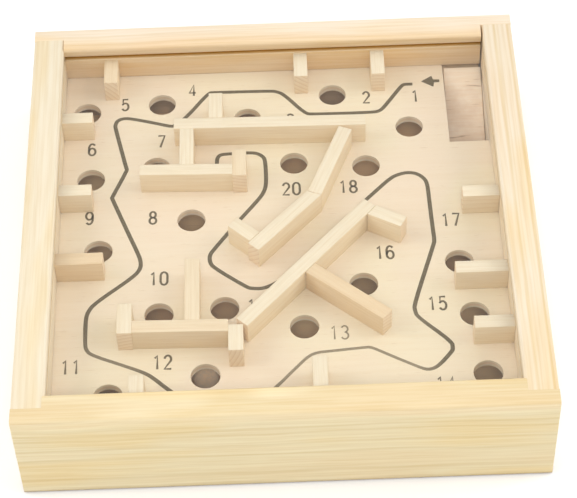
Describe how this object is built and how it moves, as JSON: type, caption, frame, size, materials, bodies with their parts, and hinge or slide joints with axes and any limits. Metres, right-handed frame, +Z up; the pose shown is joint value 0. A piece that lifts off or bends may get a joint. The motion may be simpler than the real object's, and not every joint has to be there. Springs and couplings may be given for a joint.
{
  "type": "dexterity puzzle",
  "caption": "Square hand-held tilt maze: a pine case with a clear cover, a printed board with strips and holes, and a steel ball that drops to a tray and returns up a ramp.",
  "frame": {"origin": "middle of the case on the surface it rests on", "axes": "+X to the right, +Y to the back, where the return ramp is, +Z up through the cover"},
  "size_m": [0.12, 0.12, 0.028],
  "materials": {
    "planed pine": "planed, unvarnished",
    "base plywood": "unsanded plywood",
    "printed plywood": "sanded plywood with a dark grey print",
    "maze strip lime wood": "planed, sawn ends",
    "sawn ramp wood": "cross-sawn",
    "clear acrylic": "clear, polished",
    "polished steel": "polished"
  },
  "bodies": {
    "case": {"front_rail": "planed pine", "back_rail": "planed pine", "left_rail": "planed pine", "right_rail": "planed pine", "base_panel": "base plywood", "maze_board": "printed plywood", "clear_cover": "clear acrylic", "return_ramp": "sawn ramp wood", "left_strip_1": "maze strip lime wood", "left_strip_2": "maze strip lime wood", "left_strip_3": "maze strip lime wood", "right_strip_1": "maze strip lime wood", "right_strip_2": "maze strip lime wood", "right_strip_3": "maze strip lime wood", "back_strip_1": "maze strip lime wood", "back_strip_2": "maze strip lime wood", "back_strip_3": "maze strip lime wood", "front_strip_1": "maze strip lime wood", "front_strip_2": "maze strip lime wood", "long_wall": "maze strip lime wood", "long_wall_spur": "maze strip lime wood", "link_strip": "maze strip lime wood", "mid_wall": "maze strip lime wood", "mid_wall_end": "maze strip lime wood", "slant_upper": "maze strip lime wood", "slant_lower": "maze strip lime wood", "slant_hook": "maze strip lime wood", "long_slant": "maze strip lime wood", "long_slant_end": "maze strip lime wood", "long_slant_branch": "maze strip lime wood", "low_wall": "maze strip lime wood", "low_wall_end": "maze strip lime wood", "low_wall_spur": "maze strip lime wood", "low_wall_foot": "maze strip lime wood"},
    "ball": {"steel_ball": "polished steel"}
  },
  "joints": [
    {"name": "ball_roll", "type": "slide", "parent": "case", "child": "ball", "axis": [1, 0, 0], "range_m": [-0.0311, 0.0675]}
  ]
}
